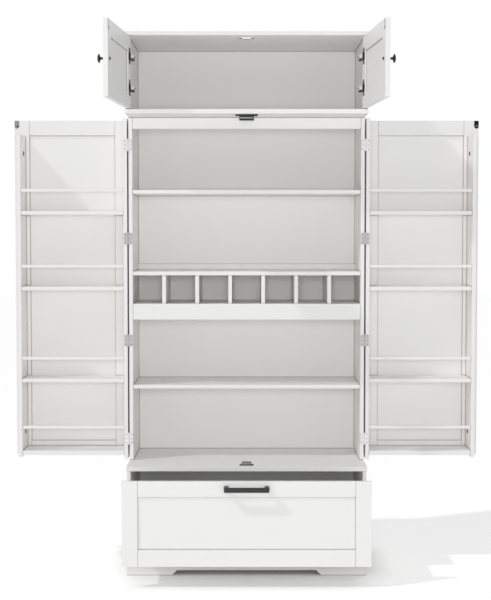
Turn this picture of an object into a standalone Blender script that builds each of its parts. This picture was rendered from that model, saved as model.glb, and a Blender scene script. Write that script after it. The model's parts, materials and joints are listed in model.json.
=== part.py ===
"""Tall kitchen pantry cupboard, modelled as its separate boards, doors, drawer and fittings.

Metres, +Z up. The cabinet faces -Y and +X is to the right of someone who faces it.
Y is measured back from the front edge of the ledge, then everything is moved by FRONT_Y,
so that the origin lies on the floor under the middle of the cabinet with its doors open.
Moving pieces are modelled closed, and the empty on their axis turns or slides them open.
Paired pieces are modelled on the left and mirrored for the right.
"""
from collections import namedtuple
from math import cos, hypot, pi, radians, sin

import bmesh
import bpy
from mathutils import Matrix, Vector

# Overall sizes
WIDTH = 0.800
HEIGHT = 1.800
DEPTH = 0.3877
FRONT_Y = -0.008

# Boards, clearances and edges
BOARD = 0.0127
THICK_BOARD = 0.015
BACK_SHEET = 0.004
SLAB = 0.015
CONTACT = 0.0003
REVEAL = 0.0025
CENTRE_GAP = 0.003
FACE_INSET = 0.008
SLAB_GAP = 0.0025
SET_IN = 0.001
ARRIS = 0.0008

# Levels of the fixed boards, each the top of its board unless named otherwise
PLINTH_HEIGHT = 0.070
LEDGE_TOP = 0.366
SHELF_LOW_TOP = 0.624
APRON_BOTTOM = 0.847
CUBBY_FLOOR_TOP = 0.901
CUBBY_TOP = 1.0105
SHELF_HIGH_TOP = 1.2873
HEADER_HEIGHT = 0.039
UPPER_CASE_HEIGHT = 0.2525
MIDDLE_SETBACK = 0.139
CUBBIES = 7

# Plinth arch
ARCH_HEIGHT = 0.0175
ARCH_WIDTH = 0.501
ARCH_SLOPE = 0.019

# Framed fronts
MEMBER = 0.0508
DRAWER_LOW_MEMBER = 0.055
MAIN_LOW_MEMBER = 0.047
RECESS = 0.005

# Main doors: the box rack behind each front
RACK_TOP_DROP = 0.055
RACK_BOTTOM_RISE = 0.007
RACK_FREE_INSET = 0.0248
RACK_SHELF_TOPS = (0.645, 0.959, 1.2165)
RACK_FLOOR_TOP = 0.3977
RAIL_RISE = 0.070
FLOOR_RAIL_RISE = 0.0808
RAIL_HEIGHT = 0.010
RAIL_THICK = 0.008
MAIN_OPEN = radians(180)

# Butt hinges of the main doors
BUTT_AXIS_OUT = 0.00275
BUTT_HEIGHT = 0.042
BUTT_BARREL = 0.0144
BARREL_RADIUS = 0.00225
PIN_RADIUS = 0.0012
PIN_CLEARANCE = 0.0001
LEAF = 0.001
LEAF_MEET = 0.0004
LEAF_CLEAR = 0.0003
BUTT_TOP_DROP = 0.091
BUTT_BOTTOM_RISE = 0.071
BUTT_MIDDLE = 0.4075

# Upper doors and their concealed hinges
UPPER_REVEAL = 0.0015
UPPER_OPEN = radians(95)
UPPER_AXIS_IN = 0.0065
UPPER_AXIS_DEEP = 0.0107
HINGE_FROM_END = 0.066
CUP_FROM_EDGE = 0.0225
CUP_RADIUS = 0.0172
CUP_WALL = 0.0022
CUP_DEPTH = 0.011
CUP_FLOOR = 0.001
FLANGE_WIDTH = 0.024
FLANGE_HEIGHT = 0.051
FLANGE = 0.001
ARM_HEIGHT = 0.017
ARM_THICK = 0.017
ARM_LENGTH = 0.070
ARM_SKIRT = 0.005
NOSE_TURN = radians(30)

# Drawer, its runners and its box
DRAWER_OUT = 0.178
RUNNER_SPACE = 0.013
RUNNER_LEVEL = 0.0935
RUNNER_HEIGHT = 0.035
RUNNER_REACH = 0.020
RUNNER_LIP = 0.006
RUNNER_LENGTH = 0.345
STEEL = 0.0012
DRAWER_WALL = 0.012
DRAWER_WALL_HEIGHT = 0.190
DRAWER_BOX_DEPTH = 0.345
DRAWER_FLOOR = 0.005
DRAWER_FLOOR_RISE = 0.010

# Bar pulls and knobs
PULL_LENGTH = 0.1435
PULL_HEIGHT = 0.0155
PULL_BAR = 0.008
PULL_POST = 0.0135
PULL_REACH = 0.030
PULL_DROP = 0.0232
KNOB_RADIUS = 0.014
KNOB_STEM = 0.004
KNOB_FOOT = 0.0065
KNOB_REACH = 0.021
KNOB_RIM = 0.016
KNOB_WAIST = 0.0112
KNOB_RISE = 0.1163
KNOB_DOME = (radians(25), radians(50), radians(70))

# Roundness of turned shapes, and the angle from which an edge counts as sharp
KNOB_STEPS = 24
CUP_STEPS = 32
BARREL_STEPS = 12
SHARP_ANGLE = radians(35)
MERGE = 0.000001

# Magnetic catches: width over the wings, body width, body height, wing thickness, depth
TOP_CATCH = (0.052, 0.032, 0.0125, 0.004, 0.020)
MIDDLE_CATCH = (0.074, 0.048, 0.0185, 0.006, 0.028)
LEDGE_CATCH = (0.046, 0.031, 0.010, 0.002, 0.024)
STRIKE_SPACE = 0.003

# Values worked out from the sizes above
HALF = WIDTH / 2
INNER = HALF - BOARD
SHELF_HALF = INNER - CONTACT
CORNICE_TOP = HEIGHT - UPPER_CASE_HEIGHT
LEDGE_UNDERSIDE = LEDGE_TOP - THICK_BOARD
CORNICE_UNDERSIDE = CORNICE_TOP - THICK_BOARD
TOP_UNDERSIDE = HEIGHT - BOARD
FACE_BACK = FACE_INSET + SLAB
SIDE_FRONT = FACE_BACK + SLAB_GAP
SHELF_FRONT = MIDDLE_SETBACK + SET_IN
HEADER_BOTTOM = CORNICE_UNDERSIDE - HEADER_HEIGHT
DOOR_BOTTOM = LEDGE_TOP + REVEAL
DOOR_TOP = CORNICE_UNDERSIDE - REVEAL
RACK_BACK = MIDDLE_SETBACK - 2 * (CONTACT + LEAF) - LEAF_MEET
RACK_FRONT = FACE_BACK + CONTACT
BUTT_AXIS_Y = (MIDDLE_SETBACK + RACK_BACK) / 2
UPPER_BOTTOM = CORNICE_TOP + REVEAL
UPPER_TOP = TOP_UNDERSIDE - REVEAL
UPPER_AXIS_X = -HALF + UPPER_REVEAL + UPPER_AXIS_IN
UPPER_AXIS_Y = FACE_BACK - UPPER_AXIS_DEEP
DRAWER_FRONT_TOP = LEDGE_UNDERSIDE - REVEAL
DRAWER_FRONT_BOTTOM = PLINTH_HEIGHT + REVEAL
DRAWER_SIDE_OUTER = INNER - RUNNER_SPACE
DRAWER_SIDE_INNER = DRAWER_SIDE_OUTER - DRAWER_WALL
DRAWER_SIDE_BOTTOM = RUNNER_LEVEL + STEEL + CONTACT
PULL_X = CENTRE_GAP / 2 + MEMBER / 2

# Colour, roughness and metallic value of each finish
FINISHES = {
    "white_paint": ((0.80, 0.80, 0.79), 0.45, 0.0),
    "white_board": ((0.76, 0.76, 0.75), 0.55, 0.0),
    "zinc": ((0.62, 0.63, 0.64), 0.32, 1.0),
    "nickel": ((0.50, 0.49, 0.47), 0.28, 1.0),
    "black_metal": ((0.018, 0.018, 0.018), 0.42, 0.6),
    "black_plastic": ((0.025, 0.025, 0.025), 0.50, 0.0),
    "grey_plastic": ((0.20, 0.20, 0.20), 0.50, 0.0),
    "white_plastic": ((0.80, 0.80, 0.80), 0.42, 0.0),
    "white_steel": ((0.70, 0.70, 0.70), 0.38, 0.2),
}

Carrier = namedtuple("Carrier", "empty point")


def clear_scene():
    """Start from an empty scene."""
    for obj in list(bpy.data.objects):
        bpy.data.objects.remove(obj, do_unlink=True)


def finished_material(name, finish):
    """Principled material of one piece."""
    colour, roughness, metallic = FINISHES[finish]
    material = bpy.data.materials.new(f"{name}_{finish}")
    material.use_nodes = True
    shader = material.node_tree.nodes["Principled BSDF"]
    shader.inputs["Base Color"].default_value = (*colour, 1.0)
    shader.inputs["Roughness"].default_value = roughness
    shader.inputs["Metallic"].default_value = metallic
    return material


def carrier(name, root, point, turn=0.0, slide=0.0):
    """Empty on a joint's axis, turned about Z or slid forward to its open place."""
    empty = bpy.data.objects.new(name, None)
    bpy.context.scene.collection.objects.link(empty)
    empty.parent = root
    empty.location = Vector(point) - Vector((0.0, slide, 0.0))
    empty.rotation_euler = (0.0, 0.0, turn)
    return Carrier(empty, Vector(point))


def to_mesh(bm):
    """Mesh of a finished bmesh, with its faces pointing out."""
    bmesh.ops.recalc_face_normals(bm, faces=bm.faces)
    mesh = bpy.data.meshes.new("shape")
    bm.to_mesh(mesh)
    bm.free()
    return mesh


def box(x, y, z):
    """Box between two values on each axis."""
    low = Vector(map(min, (x, y, z)))
    high = Vector(map(max, (x, y, z)))
    bm = bmesh.new()
    place = Matrix.LocRotScale((low + high) / 2, None, high - low)
    bmesh.ops.create_cube(bm, size=1.0, matrix=place)
    return to_mesh(bm)


def prism(outline, along, start, end):
    """Flat outline pushed along an axis; the outline gives the other two values in order."""
    def point(a, b, c):
        return {"x": (c, a, b), "y": (a, c, b), "z": (a, b, c)}[along]

    bm = bmesh.new()
    face = bm.faces.new([bm.verts.new(point(a, b, start)) for a, b in outline])
    pushed = bmesh.ops.extrude_face_region(bm, geom=[face])["geom"]
    far = [item for item in pushed if isinstance(item, bmesh.types.BMVert)]
    bmesh.ops.translate(bm, verts=far, vec=point(0.0, 0.0, end - start))
    return to_mesh(bm)


def turned(profile, steps, closed=False):
    """Profile of radius and height turned about Z; a closed one makes a ring."""
    bm = bmesh.new()
    verts = [bm.verts.new((radius, 0.0, height)) for radius, height in profile]
    ends = verts[1:] + ([verts[0]] if closed else [])
    edges = [bm.edges.new(pair) for pair in zip(verts, ends)]
    bmesh.ops.spin(bm, geom=verts + edges, cent=(0, 0, 0), axis=(0, 0, 1), angle=2 * pi, steps=steps)
    bmesh.ops.remove_doubles(bm, verts=bm.verts, dist=MERGE)
    return to_mesh(bm)


def joined(meshes):
    """One mesh that holds several separate shapes."""
    bm = bmesh.new()
    for mesh in meshes:
        bm.from_mesh(mesh)
    mesh = bpy.data.meshes.new("shapes")
    bm.to_mesh(mesh)
    bm.free()
    return mesh


def carve(body, add=(), cut=()):
    """Body with some shapes added and others taken out, as a new mesh."""
    scene = bpy.context.scene.collection
    work = bpy.data.objects.new("body", body)
    scene.objects.link(work)
    tools = []
    for operation, shapes in (("UNION", add), ("DIFFERENCE", cut)):
        for shape in shapes:
            tool = bpy.data.objects.new("tool", shape)
            tool.hide_render = True
            tool.display_type = "WIRE"
            scene.objects.link(tool)
            modifier = work.modifiers.new(operation.lower(), "BOOLEAN")
            modifier.operation = operation
            modifier.solver = "EXACT"
            modifier.object = tool
            tools.append(tool)
    graph = bpy.context.evaluated_depsgraph_get()
    mesh = bpy.data.meshes.new_from_object(work.evaluated_get(graph))
    for obj in [work, *tools]:
        bpy.data.objects.remove(obj, do_unlink=True)
    return mesh


def mirrored(mesh):
    """Copy of a left-hand shape for the right."""
    copy = mesh.copy()
    copy.transform(Matrix.Scale(-1.0, 4, (1.0, 0.0, 0.0)))
    copy.flip_normals()
    return copy


def moved(mesh, offset):
    """Copy of a shape in another place."""
    copy = mesh.copy()
    copy.transform(Matrix.Translation(offset))
    return copy


def add(name, mesh, finish, held, soft=0.0, smooth=False):
    """Named piece on its carrier, with its edges eased by soft."""
    shape = moved(mesh, -held.point)
    shape.name = name
    shape.materials.clear()
    shape.materials.append(finished_material(name, finish))
    if smooth:
        shape.shade_smooth()
        shape.set_sharp_from_angle(angle=SHARP_ANGLE)
    obj = bpy.data.objects.new(name, shape)
    bpy.context.scene.collection.objects.link(obj)
    obj.parent = held.empty
    if soft:
        bevel = obj.modifiers.new("eased_edges", "BEVEL")
        bevel.width = soft
        bevel.segments = 1
        bevel.limit_method = "ANGLE"
        bevel.angle_limit = SHARP_ANGLE
    return obj


def add_pair(name, mesh, finish, left, right, soft=0.0, smooth=False):
    """Left-hand piece and its mirror image."""
    add(f"{name}_left", mesh, finish, left, soft, smooth)
    add(f"{name}_right", mirrored(mesh), finish, right, soft, smooth)


def framed_front(x, z, low_member=MEMBER, both_faces=True):
    """Door or drawer front: stiles and rails around a recessed panel."""
    bm = bmesh.new()
    low = Vector((min(x), FACE_INSET, min(z)))
    high = Vector((max(x), FACE_BACK, max(z)))
    place = Matrix.LocRotScale((low + high) / 2, None, high - low)
    bmesh.ops.create_cube(bm, size=1.0, matrix=place)
    rim = list(bm.edges)
    for side in (-1, 1) if both_faces else (-1,):
        face = max(bm.faces, key=lambda each: each.normal.y * side)
        bmesh.ops.inset_individual(bm, faces=[face], thickness=MEMBER, depth=0.0, use_even_offset=True)
        lowest = min(vert.co.z for vert in face.verts)
        for vert in face.verts:
            if vert.co.z < lowest + CONTACT:
                vert.co.z += low_member - MEMBER
        bmesh.ops.inset_individual(bm, faces=[face], thickness=0.0, depth=-RECESS)
    bmesh.ops.bevel(bm, geom=rim, offset=ARRIS / 2, segments=1, affect="EDGES")
    return to_mesh(bm)


def bar_pull():
    """Square bar on two end posts, seated on y = 0 and reaching to -Y, along X."""
    half, gap = PULL_LENGTH / 2, PULL_LENGTH / 2 - PULL_POST
    front, back = -PULL_REACH, -PULL_REACH + PULL_BAR
    outline = ((-half, 0.0), (-half, front), (half, front), (half, 0.0),
               (gap, 0.0), (gap, back), (-gap, back), (-gap, 0.0))
    return prism(outline, "z", -PULL_HEIGHT / 2, PULL_HEIGHT / 2)


def winged_catch(sizes, seat, front, hangs=True):
    """Magnetic catch: a body between two screw wings that lie against the board."""
    wings, body, height, wing, depth = sizes
    way = -1 if hangs else 1
    base = seat + way * CONTACT
    step, end = base + way * wing, base + way * height
    outline = ((-wings / 2, base), (wings / 2, base), (wings / 2, step), (body / 2, step),
               (body / 2, end), (-body / 2, end), (-body / 2, step), (-wings / 2, step))
    return prism(outline, "y", front, front + depth)


def base_case(fixed):
    """Plinth with its arch and floor board, sides, and the ledge that lies on them."""
    foot, crown = ARCH_WIDTH / 2, ARCH_WIDTH / 2 - ARCH_SLOPE
    outline = ((-HALF, 0.0), (-foot, 0.0), (-crown, ARCH_HEIGHT), (crown, ARCH_HEIGHT),
               (foot, 0.0), (HALF, 0.0), (HALF, PLINTH_HEIGHT), (-HALF, PLINTH_HEIGHT))
    plinth = prism(outline, "y", FACE_INSET, FACE_BACK)
    floor_top = PLINTH_HEIGHT - SET_IN
    floor = box((-SHELF_HALF, SHELF_HALF), (FACE_BACK - SET_IN, DEPTH), (floor_top - BOARD, floor_top))
    add("base_floor_and_plinth", carve(plinth, add=[floor]), "white_paint", fixed)
    side = box((-HALF, -INNER), (SIDE_FRONT, DEPTH), (0.0, LEDGE_UNDERSIDE - CONTACT))
    add_pair("base_side", side, "white_paint", fixed, fixed, ARRIS)
    ledge = box((-HALF, HALF), (0.0, DEPTH), (LEDGE_UNDERSIDE, LEDGE_TOP))
    add("ledge_board", ledge, "white_paint", fixed, ARRIS)


def middle_case(fixed):
    """Sides, shelves, cubbies and header of the cupboard behind the main doors."""
    side = box((-HALF, -INNER), (MIDDLE_SETBACK, DEPTH), (LEDGE_TOP + CONTACT, CORNICE_UNDERSIDE - CONTACT))
    add_pair("middle_side", side, "white_paint", fixed, fixed, ARRIS)
    across, deep = (-SHELF_HALF, SHELF_HALF), (SHELF_FRONT, DEPTH)
    for name, top in (("shelf_upper", SHELF_HIGH_TOP), ("shelf_lower", SHELF_LOW_TOP)):
        add(name, box(across, deep, (top - BOARD, top)), "white_paint", fixed, ARRIS)
    header = box(across, (SHELF_FRONT, SHELF_FRONT + BOARD), (HEADER_BOTTOM, CORNICE_UNDERSIDE - CONTACT))
    add("header_rail", header, "white_paint", fixed, ARRIS)
    add("cubby_unit", cubby_unit(), "white_paint", fixed)


def cubby_unit():
    """Two boards, the dividers between them and the apron below."""
    across = (-SHELF_HALF, SHELF_HALF)
    lid = box(across, (SHELF_FRONT, DEPTH), (CUBBY_TOP - BOARD, CUBBY_TOP))
    apron = box(across, (SHELF_FRONT, SHELF_FRONT + BOARD), (APRON_BOTTOM, CUBBY_FLOOR_TOP))
    floor_front = SHELF_FRONT + BOARD - SET_IN
    floor_top = CUBBY_FLOOR_TOP - SET_IN
    floor = box(across, (floor_front, DEPTH), (floor_top - BOARD, floor_top))
    pitch = (2 * INNER + BOARD) / CUBBIES
    dividers = []
    for number in range(1, CUBBIES):
        middle = -INNER - BOARD / 2 + number * pitch
        wide = (middle - BOARD / 2, middle + BOARD / 2)
        tall = (floor_top - SET_IN, CUBBY_TOP - BOARD + SET_IN)
        dividers.append(box(wide, (SHELF_FRONT + SET_IN, DEPTH - SET_IN), tall))
    shell = carve(lid, add=[joined(dividers)])
    return carve(apron, add=[floor, shell])


def top_case(fixed):
    """Cornice, the upper sides, the top board and the back sheet behind all of it."""
    cornice = box((-HALF, HALF), (0.0, DEPTH), (CORNICE_UNDERSIDE, CORNICE_TOP))
    add("cornice_board", cornice, "white_paint", fixed, ARRIS)
    side = box((-HALF, -INNER), (SIDE_FRONT, DEPTH), (CORNICE_TOP + CONTACT, TOP_UNDERSIDE - CONTACT))
    add_pair("top_side", side, "white_paint", fixed, fixed, ARRIS)
    lid = box((-HALF, HALF), (0.0, DEPTH), (TOP_UNDERSIDE, HEIGHT))
    add("top_board", lid, "white_paint", fixed, ARRIS)
    inset = 2 * SET_IN
    sheet = box((-HALF + inset, HALF - inset), (DEPTH + CONTACT, DEPTH + CONTACT + BACK_SHEET),
                (2 * inset, HEIGHT - inset))
    add("back_panel", sheet, "white_board", fixed)


def catches(fixed):
    """The three magnetic catches behind the doors' free edges."""
    front = FACE_BACK + STRIKE_SPACE
    add("catch_upper_doors", winged_catch(TOP_CATCH, TOP_UNDERSIDE, front), "white_plastic", fixed)
    middle = winged_catch(MIDDLE_CATCH, CORNICE_UNDERSIDE, front)
    add("catch_main_doors_top", middle, "black_plastic", fixed)
    low = winged_catch(LEDGE_CATCH, LEDGE_TOP, front, hangs=False)
    add("catch_main_doors_bottom", low, "grey_plastic", fixed)


def runners(fixed):
    """Folded steel runners: the drawer sides ride on the lower flange."""
    web, foot, lip = -SHELF_HALF, -SHELF_HALF + RUNNER_REACH, -SHELF_HALF + RUNNER_LIP
    low, high = RUNNER_LEVEL, RUNNER_LEVEL + RUNNER_HEIGHT
    outline = ((web, low), (foot, low), (foot, low + STEEL), (web + STEEL, low + STEEL),
               (web + STEEL, high - STEEL), (lip, high - STEEL), (lip, high), (web, high))
    rail = prism(outline, "y", SIDE_FRONT + SET_IN, SIDE_FRONT + SET_IN + RUNNER_LENGTH)
    add_pair("runner", rail, "white_steel", fixed, fixed)


def drawer(fixed, root):
    """Deep drawer: framed front, two sides, back, bottom and bar pull."""
    slider = carrier("drawer_slide", root, (0.0, 0.0, 0.0), slide=DRAWER_OUT)
    tall = (DRAWER_FRONT_BOTTOM, DRAWER_FRONT_TOP)
    front = framed_front((-HALF, HALF), tall, DRAWER_LOW_MEMBER, both_faces=False)
    add("drawer_front", front, "white_paint", slider)
    start = FACE_BACK + CONTACT
    end = start + DRAWER_BOX_DEPTH
    walls = (DRAWER_SIDE_BOTTOM, DRAWER_SIDE_BOTTOM + DRAWER_WALL_HEIGHT)
    side = box((-DRAWER_SIDE_OUTER, -DRAWER_SIDE_INNER), (start, end), walls)
    add_pair("drawer_side", side, "white_board", slider, slider, ARRIS)
    across = (-DRAWER_SIDE_INNER + CONTACT, DRAWER_SIDE_INNER - CONTACT)
    add("drawer_back", box(across, (end - DRAWER_WALL, end), walls), "white_board", slider, ARRIS)
    level = DRAWER_SIDE_BOTTOM + DRAWER_FLOOR_RISE
    floor = box(across, (start, end - DRAWER_WALL - CONTACT), (level, level + DRAWER_FLOOR))
    add("drawer_bottom", floor, "white_board", slider)
    pull = moved(bar_pull(), (0.0, FACE_INSET - CONTACT, DRAWER_FRONT_TOP - PULL_DROP))
    add("drawer_pull", pull, "black_metal", slider, ARRIS)


def concealed_cup():
    """Hinge cup, closed by its floor and open to +Y, with the screw flange around its mouth."""
    rim = FACE_BACK + CONTACT + FLANGE
    inner = CUP_RADIUS - CUP_WALL
    stand = Matrix.Rotation(-pi / 2, 4, "X")
    plug = turned(((0.0, -CUP_DEPTH - CUP_FLOOR), (CUP_RADIUS, -CUP_DEPTH - CUP_FLOOR),
                   (CUP_RADIUS, 0.0), (0.0, 0.0)), CUP_STEPS)
    well = turned(((0.0, -CUP_DEPTH), (inner, -CUP_DEPTH), (inner, CUP_DEPTH), (0.0, CUP_DEPTH)), CUP_STEPS)
    centre = Vector((-HALF + UPPER_REVEAL + CUP_FROM_EDGE, rim, 0.0))
    for mesh in (plug, well):
        mesh.transform(stand)
        mesh.transform(Matrix.Translation(centre))
    wide = (centre.x - FLANGE_WIDTH / 2, centre.x + FLANGE_WIDTH / 2)
    flange = box(wide, (rim - FLANGE, rim), (-FLANGE_HEIGHT / 2, FLANGE_HEIGHT / 2))
    return carve(carve(plug, add=[flange]), cut=[well])


def concealed_arm():
    """Hinge arm on the side board: a foot, a tapering body and the nose that meets the door."""
    reach = hypot(UPPER_AXIS_IN, UPPER_AXIS_DEEP) + CONTACT
    nose_x = UPPER_AXIS_X + reach * cos(NOSE_TURN)
    nose_y = UPPER_AXIS_Y + reach * sin(NOSE_TURN)
    wall = -SHELF_HALF
    outer = wall + ARM_THICK
    shoulder = max(SIDE_FRONT, UPPER_AXIS_Y + reach)
    end = SIDE_FRONT + ARM_LENGTH
    outline = ((wall, shoulder), (wall, end), (wall + ARM_SKIRT, end), (outer, end - ARM_THICK),
               (outer, nose_y + STEEL), (outer - STEEL, nose_y), (nose_x, nose_y), (nose_x, shoulder))
    return prism(outline, "z", -ARM_HEIGHT / 2, ARM_HEIGHT / 2)


def cup_bores(heights):
    """Cutters for the bores that take the hinge cups."""
    radius, depth = CUP_RADIUS + CONTACT, CUP_DEPTH + CUP_FLOOR - FLANGE
    shapes = []
    for height in heights:
        bore = turned(((0.0, -depth), (radius, -depth), (radius, depth), (0.0, depth)), CUP_STEPS)
        bore.transform(Matrix.Rotation(-pi / 2, 4, "X"))
        bore.transform(Matrix.Translation((-HALF + UPPER_REVEAL + CUP_FROM_EDGE, FACE_BACK, height)))
        shapes.append(bore)
    return joined(shapes)


def knob():
    """Turned knob, seated on y = 0 and reaching to -Y: foot, waist and domed head."""
    dome = [(KNOB_RADIUS * cos(turn), KNOB_RIM + (KNOB_REACH - KNOB_RIM) * sin(turn)) for turn in KNOB_DOME]
    profile = [(0.0, 0.0), (KNOB_FOOT, 0.0), (KNOB_FOOT, STEEL), (KNOB_STEM, 2 * STEEL),
               (KNOB_STEM, KNOB_WAIST), (KNOB_RADIUS, KNOB_RIM), *dome, (0.0, KNOB_REACH)]
    mesh = turned(profile, KNOB_STEPS)
    mesh.transform(Matrix.Rotation(pi / 2, 4, "X"))
    return mesh


def upper_doors(fixed, root):
    """Pair of small doors on concealed hinges, whose pivots are taken as one mean axis each."""
    place = (UPPER_AXIS_X, UPPER_AXIS_Y, 0.0)
    left = carrier("upper_left_axis", root, place, turn=-UPPER_OPEN)
    right = carrier("upper_right_axis", root, (-place[0], place[1], 0.0), turn=UPPER_OPEN)
    free = -CENTRE_GAP / 2
    front = framed_front((-HALF + UPPER_REVEAL, free), (UPPER_BOTTOM, UPPER_TOP))
    heights = {"bottom": UPPER_BOTTOM + HINGE_FROM_END, "top": UPPER_TOP - HINGE_FROM_END}
    slab = carve(front, cut=[cup_bores(heights.values())])
    add_pair("upper_door", slab, "white_paint", left, right)
    for end, height in heights.items():
        lift = (0.0, 0.0, height)
        add_pair(f"hinge_cup_{end}", moved(concealed_cup(), lift), "nickel", left, right)
        add_pair(f"hinge_arm_{end}", moved(concealed_arm(), lift), "nickel", fixed, fixed)
    seat = (-PULL_X, FACE_INSET - CONTACT, UPPER_BOTTOM + KNOB_RISE)
    add_pair("upper_knob", moved(knob(), seat), "black_metal", left, right, smooth=True)


def butt_shapes():
    """Fixed leaf with its pin and end barrels, and the swinging leaf with the middle barrel."""
    half, barrel = BUTT_HEIGHT / 2, BUTT_BARREL / 2
    middle = barrel - LEAF_CLEAR / 2
    root, edge = BARREL_RADIUS + LEAF_CLEAR, BUTT_AXIS_OUT + BOARD
    near, far = LEAF_MEET / 2, LEAF_MEET / 2 + LEAF
    fixed_outline = ((edge, -half), (edge, half), (0.0, half), (0.0, barrel),
                     (root, barrel), (root, -barrel), (0.0, -barrel), (0.0, -half))
    fixed_leaf = prism(fixed_outline, "y", near, far)
    spindle = turned(((0.0, -half), (BARREL_RADIUS, -half), (BARREL_RADIUS, -barrel),
                      (PIN_RADIUS, -barrel), (PIN_RADIUS, barrel), (BARREL_RADIUS, barrel),
                      (BARREL_RADIUS, half), (0.0, half)), BARREL_STEPS)
    bore = PIN_RADIUS + PIN_CLEARANCE
    grip = (bore + BARREL_RADIUS) / 2
    swing_outline = ((edge, -half), (edge, half), (root, half), (root, middle), (grip, middle - LEAF_CLEAR),
                     (grip, LEAF_CLEAR - middle), (root, -middle), (root, -half))
    swing_leaf = prism(swing_outline, "y", -far, -near)
    ring = turned(((bore, -middle), (BARREL_RADIUS, -middle), (BARREL_RADIUS, middle), (bore, middle)),
                  BARREL_STEPS, closed=True)
    return carve(fixed_leaf, add=[spindle]), carve(ring, add=[swing_leaf])


def rack_shape():
    """Box rack on the back of a main door: two side boards, shelves and guard rails."""
    hinge_board = (-HALF, -INNER)
    free = -CENTRE_GAP / 2 - RACK_FREE_INSET
    free_board = (free - BOARD, free)
    deep = (RACK_FRONT, RACK_BACK)
    posts = joined([box(hinge_board, deep, (DOOR_BOTTOM, DOOR_TOP)),
                    box(free_board, deep, (DOOR_BOTTOM + RACK_BOTTOM_RISE, DOOR_TOP - RACK_TOP_DROP))])
    across = (-INNER - SET_IN, free - BOARD + SET_IN)
    boards = [(RACK_FLOOR_TOP, THICK_BOARD, FLOOR_RAIL_RISE)]
    boards += [(top, BOARD, RAIL_RISE) for top in RACK_SHELF_TOPS]
    shapes = []
    for top, thick, rise in boards:
        shapes.append(box(across, (RACK_FRONT + SET_IN, RACK_BACK - SET_IN), (top - thick, top)))
        rail = (RACK_BACK - SET_IN - RAIL_THICK, RACK_BACK - SET_IN)
        middle = top + rise
        shapes.append(box(across, rail, (middle - RAIL_HEIGHT / 2, middle + RAIL_HEIGHT / 2)))
    return carve(posts, add=[joined(shapes)])


def main_doors(fixed, root):
    """Pair of tall doors, each with a box rack, on four butt hinges."""
    place = (-HALF - BUTT_AXIS_OUT, BUTT_AXIS_Y, 0.0)
    left = carrier("main_left_axis", root, place, turn=-MAIN_OPEN)
    right = carrier("main_right_axis", root, (-place[0], place[1], 0.0), turn=MAIN_OPEN)
    front = framed_front((-HALF, -CENTRE_GAP / 2), (DOOR_BOTTOM, DOOR_TOP), MAIN_LOW_MEMBER)
    add_pair("main_door", front, "white_paint", left, right)
    add_pair("door_rack", rack_shape(), "white_paint", left, right)
    fixed_leaf, swing_leaf = butt_shapes()
    heights = (DOOR_BOTTOM + BUTT_BOTTOM_RISE, DOOR_BOTTOM + BUTT_MIDDLE,
               DOOR_TOP - BUTT_MIDDLE, DOOR_TOP - BUTT_TOP_DROP)
    for number, height in enumerate(heights, start=1):
        centre = (*place[:2], height)
        add_pair(f"butt_hinge_{number}_pin_leaf", moved(fixed_leaf, centre), "zinc", fixed, fixed)
        add_pair(f"butt_hinge_{number}_door_leaf", moved(swing_leaf, centre), "zinc", left, right)
    pull = bar_pull()
    pull.transform(Matrix.Rotation(pi / 2, 4, "Y"))
    seat = (-PULL_X, FACE_INSET - CONTACT, (DOOR_BOTTOM + DOOR_TOP) / 2)
    add_pair("main_pull", moved(pull, seat), "black_metal", left, right, ARRIS)


def build():
    clear_scene()
    root = bpy.data.objects.new("cabinet", None)
    bpy.context.scene.collection.objects.link(root)
    root.location = (0.0, FRONT_Y, 0.0)
    fixed = Carrier(root, Vector((0.0, 0.0, 0.0)))
    base_case(fixed)
    middle_case(fixed)
    top_case(fixed)
    catches(fixed)
    runners(fixed)
    drawer(fixed, root)
    upper_doors(fixed, root)
    main_doors(fixed, root)


build()
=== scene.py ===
"""Looks of a tall white pantry cupboard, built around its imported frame.

Metres, +Z up. The cabinet faces -Y, +X is to its viewer's right, and every piece is made
where it is at rest: doors swung open and the drawer drawn out.
Left-hand pieces are made first, and the right-hand ones are their mirror images.
"""

import json
from math import cos, pi, radians, sin

import bmesh
import bpy
from mathutils import Matrix, Vector

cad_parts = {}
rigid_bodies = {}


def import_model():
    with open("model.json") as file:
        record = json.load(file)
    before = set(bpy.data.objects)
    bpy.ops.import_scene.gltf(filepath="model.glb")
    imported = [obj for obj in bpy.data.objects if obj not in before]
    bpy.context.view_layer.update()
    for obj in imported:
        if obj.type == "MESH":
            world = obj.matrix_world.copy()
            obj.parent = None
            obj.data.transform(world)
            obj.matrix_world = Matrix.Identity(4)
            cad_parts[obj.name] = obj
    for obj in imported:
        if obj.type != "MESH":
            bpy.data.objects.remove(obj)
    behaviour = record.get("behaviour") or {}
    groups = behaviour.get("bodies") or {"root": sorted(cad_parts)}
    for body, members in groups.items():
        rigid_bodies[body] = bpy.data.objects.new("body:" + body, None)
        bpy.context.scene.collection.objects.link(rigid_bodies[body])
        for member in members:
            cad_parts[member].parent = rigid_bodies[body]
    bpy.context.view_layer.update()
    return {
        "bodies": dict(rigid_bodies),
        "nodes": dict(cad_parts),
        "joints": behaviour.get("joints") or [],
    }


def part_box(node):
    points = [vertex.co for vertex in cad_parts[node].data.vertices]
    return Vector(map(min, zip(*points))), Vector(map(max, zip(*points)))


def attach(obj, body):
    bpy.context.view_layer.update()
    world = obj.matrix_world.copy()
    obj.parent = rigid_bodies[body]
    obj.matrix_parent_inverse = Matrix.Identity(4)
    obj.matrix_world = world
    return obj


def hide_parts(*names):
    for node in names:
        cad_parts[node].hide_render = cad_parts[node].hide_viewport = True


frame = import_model()

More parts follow.
